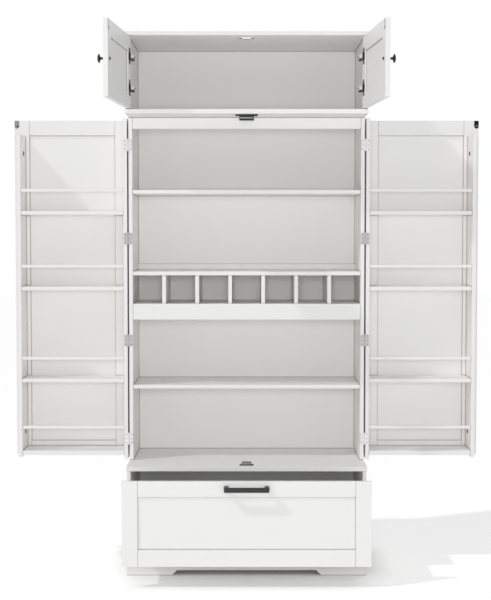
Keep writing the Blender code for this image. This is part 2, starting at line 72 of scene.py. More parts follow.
# Plinth and the base's floor board.
# The plinth is a fibreboard rail with a shallow arch sawn out of its foot; the floor board
# is glued into it. Both are primed and sprayed with satin white lacquer.
BOARD, SLAB = 0.0127, 0.015
ARCH_HEIGHT, ARCH_WIDTH, ARCH_SLOPE = 0.0175, 0.501, 0.019
FLOOR_DROP = 0.001
EASED, JOINT = 0.0008, 0.0002
SHARP, CREASED = radians(30), radians(32)
# Painted light in the white coats: a warmer, lighter colour in shut-in spaces is painted bounce
# light, and darkening in the last millimetres before inner corners is painted shade.
PAINTED_BOUNCE_REACH, PAINTED_BOUNCE_TINT = 0.12, (0.945, 0.929, 0.905)
PAINTED_SHADE_REACH, PAINTED_SHADE_TINT = 0.0038, (0.29, 0.276, 0.262)


class Signal:
    """Output of a shader node; arithmetic on it adds Math nodes."""

    def __init__(self, tree, output=None):
        self.tree, self.output = tree, output

    def node(self, kind, settings, sockets, result=0):
        """Adds a node, makes its settings, then sets or links its sockets."""
        made = self.tree.nodes.new("ShaderNode" + kind)
        for name, value in settings.items():
            setattr(made, name, value)
        for name, value in sockets.items():
            if isinstance(value, Signal):
                self.tree.links.new(value.output, made.inputs[name])
            else:
                made.inputs[name].default_value = value
        return Signal(self.tree, made.outputs[result])

    def maths(self, operation, first, second):
        return self.node("Math", {"operation": operation}, {0: first, 1: second})

    def between(self, first, second):
        """Colour that goes from the first to the second as this signal goes from 0 to 1."""
        first, second = (end if isinstance(end, Signal) else (*end, 1.0) for end in (first, second))
        return self.node("Mix", {"data_type": "RGBA"}, {0: self, 6: first, 7: second}, 2)

    def __add__(self, other):
        return self.maths("ADD", self, other)

    def __mul__(self, other):
        return self.maths("MULTIPLY", self, other)

    __radd__ = __add__
    __rmul__ = __mul__


def finish_named(name, paint):
    """Material whose shader sockets take what paint gives for a point of the piece."""
    material = bpy.data.materials.new(name)
    material.use_nodes = True
    tree = material.node_tree
    start = Signal(tree)
    place = start.node("TexCoord", {}, {}, "Object")
    shader = tree.nodes["Principled BSDF"]
    for socket, value in paint(place).items():
        if isinstance(value, Signal):
            tree.links.new(value.output, shader.inputs[socket])
        else:
            shader.inputs[socket].default_value = value
    return material


def clouds(place, scale, detail=2.0):
    """Soft noise of that many cells to the metre."""
    return place.node("TexNoise", {}, {"Vector": place, "Scale": scale, "Detail": detail})


def raised(height, strength, depth):
    """Surface direction of a relief of that depth in metres."""
    return height.node("Bump", {}, {"Strength": strength, "Distance": depth, "Height": height})


def openness(place, reach):
    """1 on an open surface, less where other surfaces stand within reach of it."""
    return place.node("AmbientOcclusion", {"samples": 8}, {"Distance": reach}, "AO")


def with_painted_shade(place, colour):
    """The colour, warmer and lighter in shut-in spaces as painted bounce light, and dark in the
    last millimetres before a corner as painted shade.
    """
    painted_bounce = openness(place, PAINTED_BOUNCE_REACH).between(PAINTED_BOUNCE_TINT, colour)
    painted_shade_mask = -1.0 + 2.0 * openness(place, PAINTED_SHADE_REACH)
    return painted_shade_mask.between(PAINTED_SHADE_TINT, painted_bounce)


def lacquer(place):
    """Sprayed satin lacquer: faint orange peel, a barely uneven sheen, painted corner shade and
    painted bounce light.
    """
    mist, peel = clouds(place, 3.5), clouds(place, 520.0, 3.0)
    coat = mist.between((0.874, 0.871, 0.865), (0.894, 0.892, 0.887))
    return {"Base Color": with_painted_shade(place, coat),
            "Roughness": 0.34 + 0.10 * mist + 0.05 * peel,
            "Normal": raised(peel, 0.30, 0.00006)}


white_lacquer = finish_named("white_lacquer", lacquer)


def from_bmesh(bm):
    """Mesh of a finished bmesh, with its faces pointing out."""
    bmesh.ops.recalc_face_normals(bm, faces=bm.faces)
    mesh = bpy.data.meshes.new("shape")
    bm.to_mesh(mesh)
    bm.free()
    return mesh


def merged(*meshes):
    """One mesh of several separate shapes."""
    bm = bmesh.new()
    for mesh in meshes:
        bm.from_mesh(mesh)
    return from_bmesh(bm)


def eased(bm, soft, rounds=2):
    """Rounds every sharp edge of the shape by soft."""
    edges = [edge for edge in bm.edges if edge.calc_face_angle(0.0) > SHARP]
    bmesh.ops.bevel(bm, geom=edges, offset=soft, segments=rounds, profile=0.5, affect="EDGES",
                    clamp_overlap=True)
    return bm


def boards(boxes, soft=EASED):
    """Flat boards, each given by its ranges along X, Y and Z, with eased edges."""
    shapes = []
    for ranges in boxes:
        low, high = (Vector(map(pick, ranges)) for pick in (min, max))
        bm = bmesh.new()
        place = Matrix.LocRotScale((low + high) / 2, None, high - low)
        bmesh.ops.create_cube(bm, size=1.0, matrix=place)
        shapes.append(from_bmesh(eased(bm, soft)))
    return merged(*shapes)


def pushed(outline, along, start, end, soft=EASED, rounds=2):
    """Flat outline pushed along an axis; the outline gives the other two values in order."""
    def point(a, b, c):
        return {"x": (c, a, b), "y": (a, c, b), "z": (a, b, c)}[along]

    bm = bmesh.new()
    face = bm.faces.new([bm.verts.new(point(a, b, start)) for a, b in outline])
    made = bmesh.ops.extrude_face_region(bm, geom=[face])["geom"]
    far = [item for item in made if isinstance(item, bmesh.types.BMVert)]
    bmesh.ops.translate(bm, verts=far, vec=point(0.0, 0.0, end - start))
    bmesh.ops.recalc_face_normals(bm, faces=bm.faces)
    return from_bmesh(eased(bm, soft, rounds))


def show(name, mesh, finish, body, nodes=(), smooth=False):
    """Adds a piece that rides on a body and stands for the named nodes."""
    mesh.name = name
    mesh.materials.clear()
    mesh.materials.append(finish)
    if smooth:
        mesh.shade_smooth()
        mesh.set_sharp_from_angle(angle=CREASED)
    piece = bpy.data.objects.new(name, mesh)
    bpy.context.scene.collection.objects.link(piece)
    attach(piece, body)
    if nodes:
        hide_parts(*nodes)


def refinish(finish, *nodes):
    """Gives nodes whose shape is right their real finish."""
    for node in nodes:
        for held in frame["nodes"][node].material_slots:
            held.material = finish


low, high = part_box("base_floor_and_plinth")
foot, crown = ARCH_WIDTH / 2, ARCH_WIDTH / 2 - ARCH_SLOPE
plinth = pushed(((low.x, 0.0), (-foot, 0.0), (-crown, ARCH_HEIGHT), (crown, ARCH_HEIGHT),
                 (foot, 0.0), (high.x, 0.0), (high.x, high.z), (low.x, high.z)),
                "y", low.y, low.y + SLAB)
floor_board = boards([((low.x + BOARD, high.x - BOARD), (low.y + SLAB + JOINT, high.y),
                       (high.z - BOARD - FLOOR_DROP, high.z - FLOOR_DROP))])
show("plinth_and_floor", merged(plinth, floor_board), white_lacquer,
     "carcass", ["base_floor_and_plinth"])

# Boards of the three cases.
# Half-inch fibreboard with eased edges, sprayed white: base sides under the ledge board,
# set-back middle sides between ledge and cornice, and the upper sides under the top board.
refinish(white_lacquer, "base_side_left", "base_side_right", "ledge_board", "middle_side_left",
         "middle_side_right", "cornice_board", "top_side_left", "top_side_right", "top_board",
         "shelf_upper", "shelf_lower", "header_rail")

# Cubby unit.
# Two boards with six dividers between them, and a deep apron rail glued under the front.
# Every board is cut and sprayed on its own, so fine joint lines stay between them.
low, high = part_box("cubby_unit")
CUBBIES = 7
APRON_HEIGHT = 0.054
SET_BACK = 0.001
lid_under = high.z - BOARD
floor_top = low.z + APRON_HEIGHT
pitch = (high.x - low.x + BOARD) / CUBBIES
unit = [((low.x, high.x), (low.y, high.y), (lid_under, high.z)),
        ((low.x, high.x), (low.y, low.y + BOARD), (low.z, floor_top)),
        ((low.x, high.x), (low.y + BOARD + JOINT, high.y),
         (floor_top - BOARD, floor_top - JOINT))]
for number in range(1, CUBBIES):
    left = low.x - BOARD + number * pitch
    unit.append(((left, left + BOARD), (low.y + SET_BACK, high.y - SET_BACK),
                 (floor_top + JOINT, lid_under - JOINT)))
show("cubby_boards", boards(unit), white_lacquer, "carcass", ["cubby_unit"])

# Back sheet.
# Two thin hardboard sheets with a white foil face, nailed to the rear edges of the boards.
# A moulded strip with a slot on either side joins them just above the cubby unit.
STRIP_LOW, STRIP_HIGH = 1.0112, 1.0308
SHEET_LAP = 0.007
FLANGE = 0.0016
SHEET_OUT = 0.0006
NAIL_HEAD, NAIL_STEP = 0.0030, 0.125
NAIL_FROM_SIDE, NAIL_FROM_END = 0.005, 0.006


def foil(place):
    """Printed white foil: matte, with the fine pores of its embossing, painted corner shade and
    painted bounce light.
    """
    mist, pores = clouds(place, 5.0), clouds(place, 750.0, 1.0)
    print_white = mist.between((0.868, 0.860, 0.848), (0.884, 0.877, 0.866))
    return {"Base Color": with_painted_shade(place, print_white),
            "Roughness": 0.46 + 0.12 * pores,
            "Normal": raised(pores, 0.25, 0.00005)}


def moulded(tone):
    """Moulded plastic of that colour: even, with the mould's fine grain."""
    def paint(place):
        grain, flow = clouds(place, 1400.0, 1.0), clouds(place, 40.0)
        return {"Base Color": flow.between([0.92 * part for part in tone], tone),
                "Roughness": 0.40 + 0.16 * grain,
                "Normal": raised(grain, 0.35, 0.00008)}
    return paint


def plated(tone, rough, metal=1.0):
    """Plated steel: fine drawn lines in the sheen and slight clouds in the plate."""
    def paint(place):
        lines, haze = clouds(place, 900.0, 1.0), clouds(place, 60.0)
        return {"Base Color": haze.between([0.86 * part for part in tone], tone),
                "Metallic": metal,
                "Roughness": rough + 0.12 * lines,
                "Normal": raised(lines, 0.20, 0.00004)}
    return paint


white_foil = finish_named("white_foil", foil)
white_moulding = finish_named("white_moulding", moulded((0.96, 0.953, 0.942)))
zinc_plate = finish_named("zinc_plate", plated((0.56, 0.56, 0.553), 0.36))


def turned(profile, steps=32):
    """Profile of radius and height turned about Z."""
    bm = bmesh.new()
    verts = [bm.verts.new((radius, 0.0, height)) for radius, height in profile]
    edges = [bm.edges.new(ends) for ends in zip(verts, verts[1:])]
    bmesh.ops.spin(bm, geom=verts + edges, cent=(0, 0, 0), axis=(0, 0, 1), angle=2 * pi,
                   steps=steps)
    bmesh.ops.remove_doubles(bm, verts=bm.verts, dist=0.000001)
    return from_bmesh(bm)


def placed(mesh, spot, facing=None):
    """Copy of a shape at spot, its Z turned to look along facing where that is given."""
    copy = mesh.copy()
    if facing:
        copy.transform(Vector(facing).to_track_quat("Z", "Y").to_matrix().to_4x4())
    copy.transform(Matrix.Translation(spot))
    return copy


def mirrored(mesh):
    """Copy of a left-hand shape for the right."""
    copy = mesh.copy()
    copy.transform(Matrix.Scale(-1.0, 4, (1.0, 0.0, 0.0)))
    copy.flip_normals()
    return copy


low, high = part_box("back_panel")
sheet_x, sheet_y = (low.x, high.x), (low.y, high.y - SHEET_OUT)
sheets = boards([(sheet_x, sheet_y, (low.z, STRIP_LOW + SHEET_LAP)),
                 (sheet_x, sheet_y, (STRIP_HIGH - SHEET_LAP, high.z))], 0.0003)
show("back_sheets", sheets, white_foil, "carcass", ["back_panel"])
side_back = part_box("middle_side_left")[1]
inner_wall, strip_z = side_back.x + JOINT, (STRIP_LOW, STRIP_HIGH)
flange = boards([((inner_wall, -inner_wall), (side_back.y - FLANGE, side_back.y), strip_z)],
                0.0004)
outer_rib = boards([((low.x + BOARD, high.x - BOARD), (high.y - SHEET_OUT, high.y), strip_z)],
                   0.0002)
show("back_joint_strip", merged(flange, outer_rib), white_moulding, "carcass")
nail = turned(((0.0, 0.0), (NAIL_HEAD, 0.0), (NAIL_HEAD, 0.0003), (NAIL_HEAD * 0.7, SHEET_OUT),
               (0.0, SHEET_OUT)), 16)
heads = []
rows = round((high.z - low.z) / NAIL_STEP)
for number in range(rows + 1):
    height = low.z + NAIL_FROM_END + (high.z - low.z - 2 * NAIL_FROM_END) * number / rows
    for x in (low.x + NAIL_FROM_SIDE, high.x - NAIL_FROM_SIDE):
        heads.append(placed(nail, (x, high.y - SHEET_OUT, height), (0, 1, 0)))
columns = round((high.x - low.x) / NAIL_STEP)
for node in ("ledge_board", "cornice_board", "top_board"):
    level = sum(corner.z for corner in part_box(node)) / 2
    for number in range(1, columns):
        x = low.x + (high.x - low.x) * number / columns
        heads.append(placed(nail, (x, high.y - SHEET_OUT, level), (0, 1, 0)))
show("back_nails", merged(*heads), zinc_plate, "carcass")

# Drawer box and its runners.
# Sides, back and bottom are thin board under white foil. Each side rides on a folded steel
# runner with a white epoxy coat, and a nylon roller turns at the runner's front end.
ROLLER, ROLLER_WIDE = 0.0105, 0.0066
ROLLER_PLAY, ROLLER_FROM_END = 0.0004, 0.004
RUNNER_STEEL = 0.0012


def epoxy(place):
    """Thick white epoxy coat on steel, glossier than the boards."""
    mist, peel = clouds(place, 12.0), clouds(place, 700.0)
    return {"Base Color": mist.between((0.74, 0.735, 0.725), (0.79, 0.785, 0.775)),
            "Roughness": 0.24 + 0.12 * peel,
            "Normal": raised(peel, 0.25, 0.00005)}


white_epoxy = finish_named("white_epoxy", epoxy)
refinish(white_foil, "drawer_side_left", "drawer_side_right", "drawer_back", "drawer_bottom")
refinish(white_epoxy, "runner_left", "runner_right")


def pair(name, mesh, finish, bodies, nodes=(), smooth=False):
    """Left-hand piece and its mirror image; bodies and nodes leave out the side's name."""
    copies = {"left": mesh, "right": mirrored(mesh)}
    for side, shape in copies.items():
        body = bodies if bodies in frame["bodies"] else f"{bodies}_{side}"
        show(f"{name}_{side}", shape, finish, body, [f"{node}_{side}" for node in nodes],
             smooth)


def groove_wheel(radius, wide):
    """Roller with a raised rim on either face and a riveted hub."""
    near = [(0.0, 0.0), (0.0030, 0.0), (0.0036, 0.0008), (radius * 0.62, 0.0008),
            (radius * 0.70, 0.0), (radius - 0.0006, 0.0), (radius, 0.0006)]
    far = [(out, wide - along) for out, along in reversed(near)]
    return turned(near + far, 40)


low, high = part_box("runner_left")
seat = (low.x + RUNNER_STEEL + ROLLER_PLAY, low.y + ROLLER + ROLLER_FROM_END,
        low.z + RUNNER_STEEL + ROLLER + ROLLER_PLAY)
wheel = placed(groove_wheel(ROLLER, ROLLER_WIDE), seat, (1, 0, 0))
pair("runner_wheel", wheel, white_moulding, "carcass", smooth=True)

# Drawer front.
# Stiles run the full height with rails between them, around a panel recessed from the face.
# The joints are glued and sprayed over, so they show as fine lines.
MEMBER = 0.0508
DRAWER_LOW_MEMBER = 0.055
MAIN_LOW_MEMBER = 0.047
RECESS = 0.005
SEAM = 0.0006
SEAM_EASED = 0.0005
GROOVE = 0.003


def framed(x, y, z, low_member, back_recess):
    """Left stile, and all the rest, of a framed front whose show face is at the lowest y."""
    left, right = x
    face, back = y
    bottom, top = z
    inner = (left + MEMBER + SEAM, right - MEMBER - SEAM)
    stile = boards([((left, left + MEMBER), y, z)], SEAM_EASED)
    members = boards([((right - MEMBER, right), y, z), (inner, y, (bottom, bottom + low_member)),
                      (inner, y, (top - MEMBER, top))], SEAM_EASED)
    panel = boards([((inner[0] - GROOVE, inner[1] + GROOVE), (face + RECESS, back - back_recess),
                     (bottom + low_member - GROOVE, top - MEMBER + GROOVE))], JOINT)
    return stile, merged(members, panel)


low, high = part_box("drawer_front")
front = framed((low.x, high.x), (low.y, high.y), (low.z, high.z), DRAWER_LOW_MEMBER, 0.0)
show("drawer_front_frame", merged(*front), white_lacquer, "drawer", ["drawer_front"])

# Bar pulls.
# A square steel bar on two posts, powder coated matte black. Two screws through the front
# hold it from behind.
PULL_POST = 0.0135
PULL_BAR = 0.008
PULL_EASED = 0.0011
SCREW_SPACING = 0.130


def powder(place):
    """Matte black powder coat with its fine pebbled skin."""
    skin, tint = clouds(place, 1600.0, 2.0), clouds(place, 30.0)
    return {"Base Color": tint.between((0.016, 0.016, 0.017), (0.024, 0.024, 0.025)),
            "Roughness": 0.36 + 0.20 * skin,
            "Normal": raised(skin, 0.40, 0.00010)}


black_powder = finish_named("black_powder", powder)


def pan_screw(radius, rise):
    """Domed screw head with the cross of its drive on top, seated on z = 0."""
    head = turned(((0.0, 0.0), (radius, 0.0), (radius * 0.96, rise * 0.35),
                   (radius * 0.75, rise * 0.78), (radius * 0.45, rise * 0.95), (0.0, rise)), 24)
    bm = bmesh.new()
    bm.from_mesh(head)
    arm = Matrix.LocRotScale((0, 0, rise), None, (radius * 1.1, radius * 0.22, rise * 0.3))
    for turn in (0.0, pi / 2):
        bmesh.ops.create_cube(bm, size=1.0, matrix=Matrix.Rotation(turn, 4, "Z") @ arm)
    return from_bmesh(bm)


def bar_pull(length, height, reach):
    """Bar on two posts, seated on y = 0 and reaching to -Y, along X."""
    half, gap = length / 2, length / 2 - PULL_POST
    outline = ((-half, 0.0), (-half, -reach), (half, -reach), (half, 0.0), (gap, 0.0),
               (gap, PULL_BAR - reach), (-gap, PULL_BAR - reach), (-gap, 0.0))
    return pushed(outline, "z", -height / 2, height / 2, PULL_EASED, 3)


low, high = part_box("drawer_pull")
pull_length, pull_height, pull_reach = high.x - low.x, high.z - low.z, high.y - low.y
pull = bar_pull(pull_length, pull_height, pull_reach)
seat = Vector((0.0, high.y, (low.z + high.z) / 2))
show("drawer_bar_pull", placed(pull, seat), black_powder, "drawer",
     ["drawer_pull"], True)
screw, screw_steps = pan_screw(0.0042, 0.0022), (-SCREW_SPACING / 2, SCREW_SPACING / 2)
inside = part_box("drawer_front")[1].y
screws = [placed(screw, (step, inside, seat.z), (0, 1, 0)) for step in screw_steps]
show("drawer_pull_screws", merged(*screws), zinc_plate, "drawer", smooth=True)

# Main doors.
# Each is a framed front like the drawer's, with the panel recessed on both faces. At rest
# they are swung right round, so their inner faces look forward beside the cabinet.
door_low, door_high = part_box("main_door_left")
front = framed((door_low.x, door_high.x), (door_low.y, door_high.y), (door_low.z, door_high.z),
               MAIN_LOW_MEMBER, RECESS)
pair("main_door_frame", merged(*front), white_lacquer, "main", ["main_door"])

# Racks on the main doors.
# Two side boards, a floor, three shelves and four thin guard rails, screwed together and to
# the door from the front. Cam locks in the side boards pull them against the door.
FREE_DROP, FREE_RISE = 0.055, 0.007
FLOOR_TOP = 0.3977
SHELF_TOPS = (0.645, 0.959, 1.2165)
RAIL_RISE, FLOOR_RAIL_RISE = 0.070, 0.0808
RAIL_HIGH, RAIL_THICK = 0.010, 0.008
CAM_RADIUS, CAM_HEIGHTS, CAM_BACK = 0.0077, (0.4545, 1.414), 0.200

low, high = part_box("door_rack_left")
rack = [((high.x - BOARD, high.x), (low.y, high.y), (low.z, high.z)),
        ((low.x, low.x + BOARD), (low.y, high.y), (low.z + FREE_RISE, high.z - FREE_DROP))]
across = (low.x + BOARD + JOINT, high.x - BOARD - JOINT)
levels = [(FLOOR_TOP, SLAB, FLOOR_RAIL_RISE)] + [(top, BOARD, RAIL_RISE) for top in SHELF_TOPS]
for top, thick, rise in levels:
    rack.append((across, (low.y + SET_BACK, high.y - SET_BACK), (top - thick, top)))
    rail_middle = top + rise
    rack.append((across, (low.y + SET_BACK, low.y + SET_BACK + RAIL_THICK),
                 (rail_middle - RAIL_HIGH / 2, rail_middle + RAIL_HIGH / 2)))
pair("rack_boards", boards(rack), white_lacquer, "main", ["door_rack"])


def cam_lock():
    """Blued cam with a dished middle and the cross of its drive, facing +Z on z = 0."""
    disc = turned(((0.0, 0.0), (CAM_RADIUS, 0.0), (CAM_RADIUS, 0.0010),
                   (CAM_RADIUS - 0.0005, 0.0014), (0.0036, 0.0014), (0.0030, 0.0009),
                   (0.0, 0.0009)), 32)
    long, short, rise = (-0.0030, 0.0030), (-0.0006, 0.0006), (0.0009, 0.0015)
    return merged(disc, boards([(long, short, rise), (short, long, rise)], 0.0001))


cams = []
for height in CAM_HEIGHTS:
    cams.append(placed(cam_lock(), (low.x + BOARD, CAM_BACK, height), (1, 0, 0)))
    cams.append(placed(cam_lock(), (high.x - BOARD, CAM_BACK, height), (-1, 0, 0)))
blued_steel = finish_named("blued_steel", plated((0.016, 0.016, 0.016), 0.40))
pair("rack_cam_locks", merged(*cams), blued_steel, "main", smooth=True)

low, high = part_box("main_pull_left")
pull = bar_pull(pull_length, pull_height, pull_reach)
pull.transform(Matrix.Rotation(pi / 2, 4, "Y"))
pull.transform(Matrix.Rotation(pi, 4, "Z"))
seat = Vector(((low.x + high.x) / 2, low.y, (low.z + high.z) / 2))
pair("main_bar_pull", placed(pull, seat), black_powder, "main", ["main_pull"],
     True)
screws = [placed(screw, (seat.x, door_low.y, seat.z + step), (0, -1, 0)) for step in screw_steps]
pair("main_pull_screws", merged(*screws), zinc_plate, "main", smooth=True)

# Strike plates of the main doors.
# Pressed steel tongues screwed to the doors' upper free corners, where the catch's magnet
# meets them. The left one is bare zinc and the right one is black.
STRIKE_WIDE, STRIKE_TALL, STRIKE_THICK = 0.0150, 0.0262, 0.0013


def tongue(wide, tall, thick):
    """Plate with a rounded lower end and a screw near it, hanging from z = 0, facing -Y."""
    half, turns = wide / 2, 12
    arc = [(half * cos(pi + pi * step / turns), half - tall + half * sin(pi + pi * step / turns))
           for step in range(turns + 1)]
    return pushed(((half, 0.0), (-half, 0.0), *arc), "y", -thick, 0.0, 0.0003, 1)


dull_steel = finish_named("dull_steel", plated((0.33, 0.33, 0.327), 0.46))
bright_screw = finish_named("bright_screw", plated((0.62, 0.62, 0.61), 0.40))
plate_screw = pan_screw(0.0030, 0.0009)
corner = Vector((door_low.x + JOINT + STRIKE_WIDE / 2, door_low.y, door_high.z - JOINT))
low_screw = Vector((0.0034, -STRIKE_THICK, 0.0068 - STRIKE_TALL))
left_plate = placed(tongue(STRIKE_WIDE, STRIKE_TALL, STRIKE_THICK), corner)
left_screw = placed(plate_screw, corner + low_screw, (0, -1, 0))
show("strike_plate_left", left_plate, dull_steel, "main_left")
show("strike_screw_left", left_screw, blued_steel, "main_left", smooth=True)
show("strike_plate_right", mirrored(left_plate), blued_steel, "main_right")
high_screw = Vector((-0.0005, low_screw.y, low_screw.z + 0.0015))
right_screw = placed(pan_screw(0.0022, 0.0009), corner + high_screw, (0, -1, 0))
show("strike_screw_right", mirrored(right_screw), bright_screw, "main_right", smooth=True)

# Butt hinges of the main doors, four to a door.
# Zinc-plated steel leaves screwed to the front edges of the middle sides and to the back edges
# of the racks. The top and bottom ones are a lighter copy of the zinc, a painted reflection.
# A dark rim round each leaf and dark discs in its screws' recesses are painted shade.
LEAF, LEAF_CORNER = 0.001, 0.0025
LEAF_SCREW, SCREWS_APART = 0.0030, 0.34
BARREL, BARREL_EASED = 0.00225, 0.0003
CASE_INNER, RACK_INNER = BARREL * 0.2, BARREL * 1.05
# How far the leaf stops short of its dark rim, a painted shade round it.
SHADE_RIM_EDGE, SHADE_RIM_SIDE = 0.0012, 0.0020
HINGES, PAINTED_LIT_HINGES = (1, 2, 3, 4), (1, 4)


def joint_at(name):
    """Where the axis of that joint stands."""
    return next(joint for joint in frame["joints"] if joint["name"] == name)["pos_m"]


def leaf_plate(wide, tall, thick, inner):
    """Leaf with rounded outer corners, from x = inner outwards to wide, facing -Y on y = 0."""
    half, turns = tall / 2, 4
    arc = [(wide - LEAF_CORNER + LEAF_CORNER * sin(pi / 2 * step / turns),
            half - LEAF_CORNER + LEAF_CORNER * cos(pi / 2 * step / turns))
           for step in range(turns + 1)]
    outline = [(inner, half), *arc] + [(x, -z) for x, z in reversed(arc)] + [(inner, -half)]
    return pushed(outline, "y", 0.0, thick, 0.0002, 1)


def down_leaf(shape, x, tall):
    """The shape at each of the three screws down a leaf, facing -Y on y = 0."""
    return [placed(shape, (x, 0.0, tall * step), (0, -1, 0))
            for step in (-SCREWS_APART, 0.0, SCREWS_APART)]


leaf_screw = turned(((0.0, 0.0), (LEAF_SCREW, 0.0), (LEAF_SCREW, 0.00012),
                     (LEAF_SCREW * 0.8, 0.00032), (LEAF_SCREW * 0.6, 0.00032),
                     (LEAF_SCREW * 0.5, 0.0), (0.0, 0.0)), 24)
screw_hole_shade = turned(((0.0, 0.0), (LEAF_SCREW * 0.4, 0.0), (LEAF_SCREW * 0.4, 0.0001),
                 (0.0, 0.0001)), 12)
painted_lit_zinc = finish_named("painted_lit_zinc", plated((0.86, 0.86, 0.85), 0.36))


def screwed_leaf(wide, tall, inner):
    """A leaf with its screws, and dark plates behind them that are painted shade round the leaf and
    in the screws' recesses, facing -Y on y = 0.
    """
    screw_x = (wide + BARREL) / 2
    plate = leaf_plate(wide - SHADE_RIM_SIDE, tall - 2 * SHADE_RIM_EDGE, LEAF, inner)
    painted_rim_shade = placed(leaf_plate(wide, tall, LEAF / 2, inner), (0.0, LEAF / 2, 0.0))
    return (merged(plate, *down_leaf(leaf_screw, screw_x, tall)),
            merged(painted_rim_shade, *down_leaf(screw_hole_shade, screw_x, tall)))


def barrel(axis, *z_ranges):
    """Knuckles about the pin, each a short tube with eased ends."""
    neck = BARREL - BARREL_EASED
    knuckles = [turned(((0.0, bottom), (neck, bottom), (BARREL, bottom + BARREL_EASED),
                        (BARREL, top - BARREL_EASED), (neck, top), (0.0, top)), 24)
                for bottom, top in z_ranges]
    return [placed(knuckle, axis) for knuckle in knuckles]


case_rim_shades, rack_rim_shades = [], []
for number in HINGES:
    case_low, case_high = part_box(f"butt_hinge_{number}_pin_leaf_left")
    leaf_low, leaf_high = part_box(f"butt_hinge_{number}_door_leaf_left")
    axis = Vector((case_low.x + BARREL, joint_at("main_left_hinge")[1],
                   (case_low.z + case_high.z) / 2))
    tall = case_high.z - case_low.z
    half, split = tall / 2, tall / 6
    # The top and bottom hinges take the lighter copy of the zinc, a painted reflection.
    plate_finish = painted_lit_zinc if number in PAINTED_LIT_HINGES else zinc_plate
    case_at = (axis.x, case_high.y - LEAF, axis.z)
    # seat here holds the dark plates behind the leaf: painted shade of its rim and screw recesses.
    leaf, seat = screwed_leaf(case_high.x - axis.x, tall, CASE_INNER)
    case_rim_shades.append(placed(seat, case_at))
    knuckles = barrel(axis, (-half, -split - JOINT), (split + JOINT, half))
    pair(f"butt_hinge_{number}_case_leaf", merged(placed(leaf, case_at), *knuckles),
         plate_finish, "carcass", [f"butt_hinge_{number}_pin_leaf"], True)
    rack_at = (axis.x, leaf_high.y - LEAF, axis.z)
    # seat again holds the painted shade of the leaf's rim and screw recesses.
    leaf, seat = screwed_leaf(axis.x - leaf_low.x, tall, RACK_INNER)
    rack_rim_shades.append(placed(mirrored(seat), rack_at))
    knuckles = barrel(axis, (-split + JOINT, split - JOINT))
    pair(f"butt_hinge_{number}_rack_leaf", merged(placed(mirrored(leaf), rack_at), *knuckles),
         plate_finish, "main", [f"butt_hinge_{number}_door_leaf"], True)
# Dark plates of painted shade behind the leaves.
pair("hinge_rim_shade_case", merged(*case_rim_shades), blued_steel, "carcass")
pair("hinge_rim_shade_rack", merged(*rack_rim_shades), blued_steel, "main")

# Upper doors.
# Two small framed fronts on concealed hinges, standing just past a right angle at rest.
# They are made closed and then turned about the hinges' mean axis.
UPPER_OPEN = radians(95)
UPPER_REVEAL, CENTRE_GAP = 0.0015, 0.003
HALF_WIDTH = 0.400
CUP_FROM_EDGE, HINGE_FROM_END = 0.0225, 0.066
CUP_BORE, CUP_BORE_DEEP, CUTTER_PROUD = 0.0174, 0.0112, 0.004
upper_axis = joint_at("upper_left_hinge")
upper_foot, upper_top = (corner.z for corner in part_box("upper_door_left"))
cup_x = -HALF_WIDTH + UPPER_REVEAL + CUP_FROM_EDGE
cup_heights = {"bottom": upper_foot + HINGE_FROM_END, "top": upper_top - HINGE_FROM_END}


def swung(mesh):
    """Copy of a closed left-hand shape, turned open about the upper hinges' axis."""
    copy = mesh.copy()
    centre = Matrix.Translation(upper_axis)
    copy.transform(centre @ Matrix.Rotation(-UPPER_OPEN, 4, "Z") @ centre.inverted())
    return copy


def carved(mesh, cutters):
    """The shape with the cutters taken out of it."""
    work = bpy.data.objects.new("work", mesh)
    bpy.context.scene.collection.objects.link(work)
    tools = []
    for cutter in cutters:
        tool = bpy.data.objects.new("tool", cutter)
        bpy.context.scene.collection.objects.link(tool)
        cut = work.modifiers.new("cut", "BOOLEAN")
        cut.operation, cut.solver, cut.object = "DIFFERENCE", "EXACT", tool
        tools.append(tool)
    graph = bpy.context.evaluated_depsgraph_get()
    result = bpy.data.meshes.new_from_object(work.evaluated_get(graph))
    for obj in [work, *tools]:
        bpy.data.objects.remove(obj, do_unlink=True)
    return result


stile, rest = framed((-HALF_WIDTH + UPPER_REVEAL, -CENTRE_GAP / 2), (0.0, SLAB),
                     (upper_foot, upper_top), MEMBER, RECESS)
bore = turned(((0.0, -CUP_BORE_DEEP), (CUP_BORE, -CUP_BORE_DEEP), (CUP_BORE, CUTTER_PROUD),
               (0.0, CUTTER_PROUD)))
bores = [placed(bore, (cup_x, SLAB, height), (0, 1, 0)) for height in cup_heights.values()]
front = merged(carved(stile, bores), rest)
pair("upper_door_frame", swung(front), white_lacquer, "upper", ["upper_door"])

# Knobs of the upper doors.
# Turned and powder coated: a small foot, a thin stem and a wide shallow mushroom head, held
# by a screw through the stile.
KNOB_RISE, KNOB_OFF_FACE = 0.1163, 0.0003
knob_x = -CENTRE_GAP / 2 - MEMBER / 2
knob_z = upper_foot + KNOB_RISE
knob_profile = [(0.0, 0.0), (0.0065, 0.0), (0.0065, 0.0009), (0.0058, 0.0014), (0.0044, 0.0026),
                (0.0040, 0.0042), (0.0040, 0.0100), (0.0045, 0.0112), (0.0062, 0.0124),
                (0.0126, 0.0150), (0.0139, 0.0156), (0.0140, 0.0163), (0.0136, 0.0170),
                (0.0122, 0.0184), (0.0094, 0.0199), (0.0055, 0.0208), (0.0, 0.0210)]
knob = placed(turned(knob_profile, 48), (knob_x, -KNOB_OFF_FACE, knob_z), (0, -1, 0))
pair("upper_door_knob", swung(knob), black_powder, "upper", ["upper_knob"], True)
knob_screw = placed(pan_screw(0.0052, 0.0034), (knob_x, SLAB, knob_z), (0, 1, 0))
pair("upper_knob_screw", swung(knob_screw), black_powder, "upper", smooth=True)

